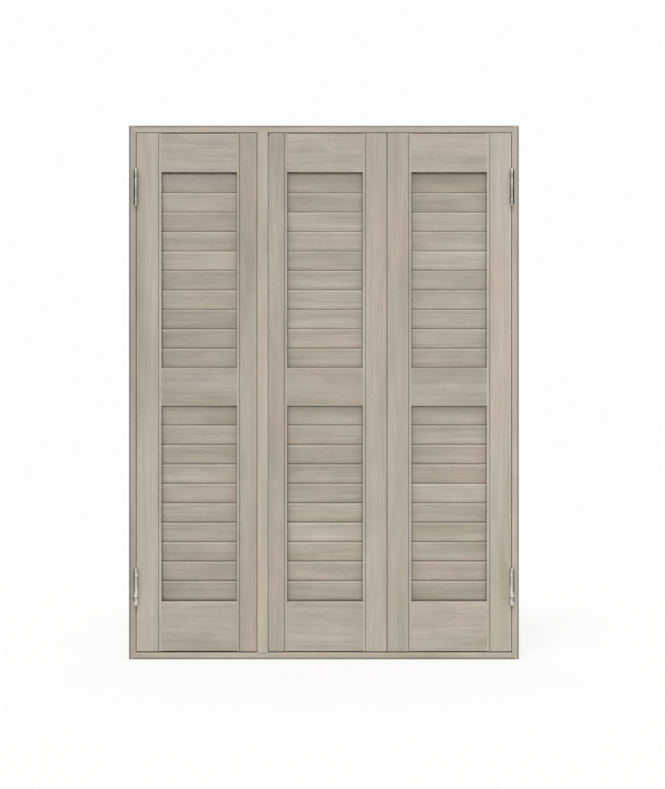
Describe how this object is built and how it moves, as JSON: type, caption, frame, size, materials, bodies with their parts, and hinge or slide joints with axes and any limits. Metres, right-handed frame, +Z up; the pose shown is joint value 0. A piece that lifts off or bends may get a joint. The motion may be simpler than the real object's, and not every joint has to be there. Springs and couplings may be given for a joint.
{
  "type": "louvred shutters",
  "caption": "Folding louvred wooden window shutters hinged in a slim frame: a single leaf and a folding pair meet at a fixed mullion.",
  "frame": {"origin": "centre of the sill's underside, halfway through the frame's depth", "axes": "+X to the viewer's right along the width, +Z up, front faces -Y"},
  "size_m": [0.8, 0.0693, 1.095],
  "materials": {
    "frame_wood": "weathered greige stain, matt, open grain",
    "leaf_wood": "weathered greige stain, matt, open grain",
    "louvre_wood": "weathered greige stain, matt, grain along the louvre",
    "hinge_steel": "polished steel",
    "magnet_block": "dull grey plated magnet",
    "keeper_steel": "zinc plated steel"
  },
  "bodies": {
    "frame": {"jamb_left": "frame_wood", "jamb_right": "frame_wood", "sill": "frame_wood", "head": "frame_wood", "mullion": "frame_wood", "left_jamb_stop": "frame_wood", "mullion_stop": "frame_wood", "right_jamb_stop": "frame_wood", "left_sill_stop": "frame_wood", "left_head_stop": "frame_wood", "left_lower_hinge_jamb_plate": "hinge_steel", "left_lower_hinge_pin": "hinge_steel", "left_upper_hinge_jamb_plate": "hinge_steel", "left_upper_hinge_pin": "hinge_steel", "right_lower_hinge_jamb_plate": "hinge_steel", "right_lower_hinge_pin": "hinge_steel", "right_upper_hinge_jamb_plate": "hinge_steel", "right_upper_hinge_pin": "hinge_steel", "left_keeper": "keeper_steel", "middle_keeper": "keeper_steel"},
    "left_leaf": {"left_leaf_left_stile": "leaf_wood", "left_leaf_right_stile": "leaf_wood", "left_leaf_bottom_rail": "leaf_wood", "left_leaf_lock_rail": "leaf_wood", "left_leaf_top_rail": "leaf_wood", "left_leaf_lower_louvres": "louvre_wood", "left_leaf_upper_louvres": "louvre_wood", "left_lower_hinge_leaf_plate": "hinge_steel", "left_upper_hinge_leaf_plate": "hinge_steel", "left_magnet": "magnet_block"},
    "middle_leaf": {"middle_leaf_left_stile": "leaf_wood", "middle_leaf_right_stile": "leaf_wood", "middle_leaf_bottom_rail": "leaf_wood", "middle_leaf_lock_rail": "leaf_wood", "middle_leaf_top_rail": "leaf_wood", "middle_leaf_lower_louvres": "louvre_wood", "middle_leaf_upper_louvres": "louvre_wood", "fold_lower_hinge_middle_plate": "hinge_steel", "fold_upper_hinge_middle_plate": "hinge_steel", "middle_magnet": "magnet_block"},
    "right_leaf": {"right_leaf_left_stile": "leaf_wood", "right_leaf_right_stile": "leaf_wood", "right_leaf_bottom_rail": "leaf_wood", "right_leaf_lock_rail": "leaf_wood", "right_leaf_top_rail": "leaf_wood", "right_leaf_lower_louvres": "louvre_wood", "right_leaf_upper_louvres": "louvre_wood", "right_lower_hinge_leaf_plate": "hinge_steel", "right_upper_hinge_leaf_plate": "hinge_steel", "fold_lower_hinge_right_plate": "hinge_steel", "fold_lower_hinge_pin": "hinge_steel", "fold_upper_hinge_right_plate": "hinge_steel", "fold_upper_hinge_pin": "hinge_steel"}
  },
  "joints": [
    {"name": "left_leaf_swing", "type": "hinge", "parent": "frame", "child": "left_leaf", "pos_m": [-0.3852, -0.0348, 0.5475], "axis": [0, 0, -1], "range_deg": [0, 175]},
    {"name": "right_leaf_swing", "type": "hinge", "parent": "frame", "child": "right_leaf", "pos_m": [0.3852, -0.0348, 0.5475], "axis": [0, 0, 1], "range_deg": [0, 175]},
    {"name": "fold_swing", "type": "hinge", "parent": "right_leaf", "child": "middle_leaf", "pos_m": [0.1241, 0.0028, 0.5475], "axis": [0, 0, -1], "range_deg": [0, 180]}
  ]
}
